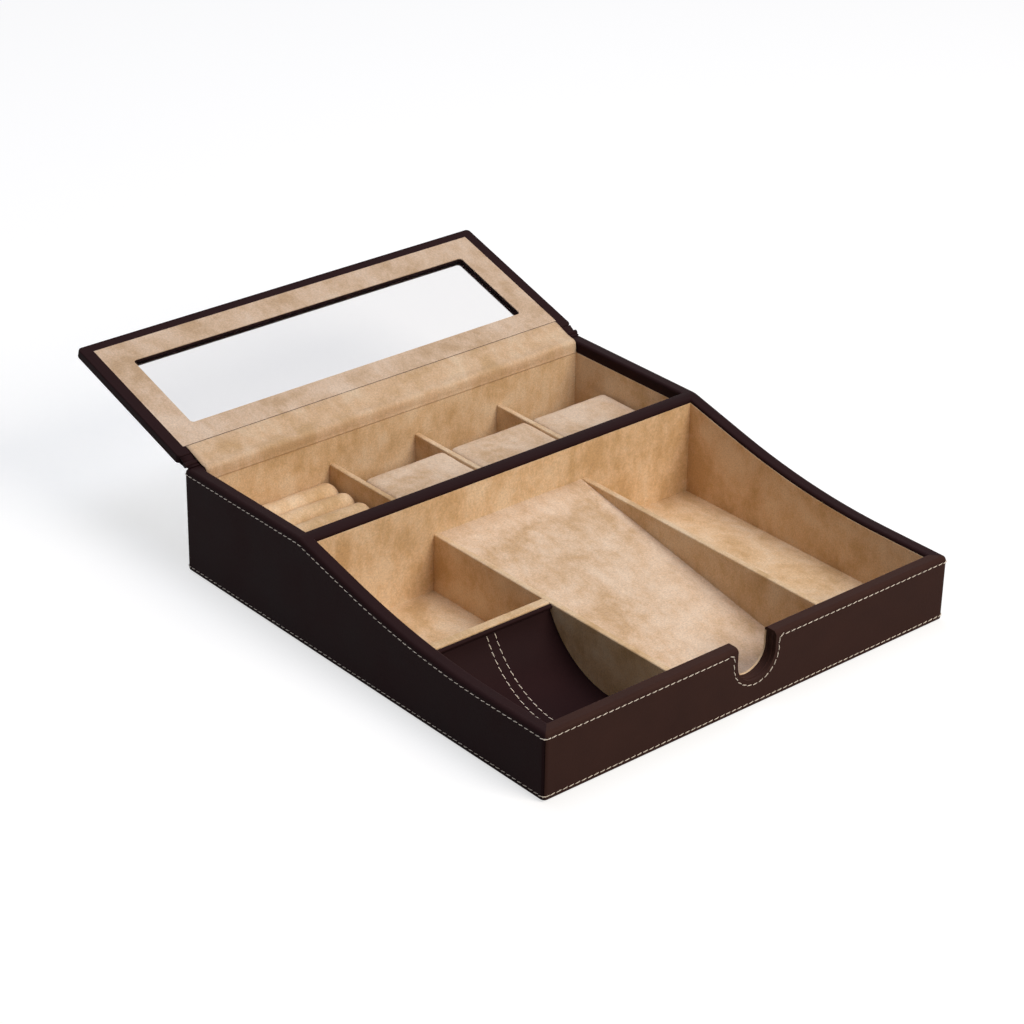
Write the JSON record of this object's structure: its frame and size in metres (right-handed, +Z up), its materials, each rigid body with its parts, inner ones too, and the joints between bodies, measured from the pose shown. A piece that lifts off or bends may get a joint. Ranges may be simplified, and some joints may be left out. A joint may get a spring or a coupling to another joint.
{
  "type": "valet box",
  "caption": "Leather-covered valet box: low open tray with a ramped bay and a coin scoop, and behind it a lidded jewellery compartment with a window in the lid.",
  "frame": {"origin": "centre of the underside of the case, on the surface it stands on", "axes": "+X along the front to the right, +Y from the open tray to the hinge, +Z up"},
  "size_m": [0.33, 0.4662, 0.1124],
  "materials": {
    "leather": "dark brown, fine grain, satin",
    "suede": "tan microsuede, matt with brushed patches",
    "board": "plain fibreboard, hidden under the coverings",
    "base": "taupe base fabric, matt",
    "window": "clear, polished"
  },
  "bodies": {
    "case": {"base_pad": "base", "bottom_board": "board", "left_wall_board": "board", "right_wall_board": "board", "front_wall_board": "board", "back_wall_board": "board", "partition_board": "board", "front_leather": "leather", "back_leather": "leather", "left_leather": "leather", "right_leather": "leather", "partition_leather": "leather", "tray_left_lining": "suede", "tray_right_lining": "suede", "tray_front_lining": "suede", "tray_rear_lining": "suede", "rear_left_lining": "suede", "rear_right_lining": "suede", "rear_front_lining": "suede", "rear_back_lining": "suede", "left_floor_lining": "suede", "right_floor_lining": "suede", "ramp_bay_floor_lining": "suede", "rear_floor_lining": "suede", "ramp_bay_left_divider": "suede", "ramp_bay_right_divider": "suede", "scoop_cross_divider": "suede", "scoop_leather": "leather", "scoop_former": "board", "ramp_panel": "suede", "ramp_cleat": "board", "watch_divider_1": "suede", "watch_divider_2": "suede", "watch_divider_3": "suede", "ring_roll_1": "suede", "ring_roll_2": "suede", "ring_roll_3": "suede", "ring_roll_4": "suede", "ring_roll_5": "suede", "ring_roll_6": "suede", "hinge_suede_strip": "suede", "hinge_inner_leather": "leather", "hinge_outer_leather": "leather"},
    "lid": {"lid_frame_board": "board", "lid_leather": "leather", "lid_lining": "suede", "lid_window_trim": "leather", "lid_glass": "window"},
    "watch_pillow_1": {"watch_pillow_1": "suede"},
    "watch_pillow_2": {"watch_pillow_2": "suede"},
    "watch_pillow_3": {"watch_pillow_3": "suede"}
  },
  "joints": [
    {"name": "lid_hinge", "type": "hinge", "parent": "case", "child": "lid", "pos_m": [0, 0.173, 0.0748], "axis": [1, 0, 0], "range_deg": [0, 163], "deforming": ["hinge_suede_strip", "hinge_inner_leather", "hinge_outer_leather"]},
    {"name": "watch_pillow_1_lift", "type": "slide", "parent": "case", "child": "watch_pillow_1", "axis": [0, 0, 1], "range_m": [0, 0.026]},
    {"name": "watch_pillow_2_lift", "type": "slide", "parent": "case", "child": "watch_pillow_2", "axis": [0, 0, 1], "range_m": [0, 0.026]},
    {"name": "watch_pillow_3_lift", "type": "slide", "parent": "case", "child": "watch_pillow_3", "axis": [0, 0, 1], "range_m": [0, 0.026]}
  ]
}
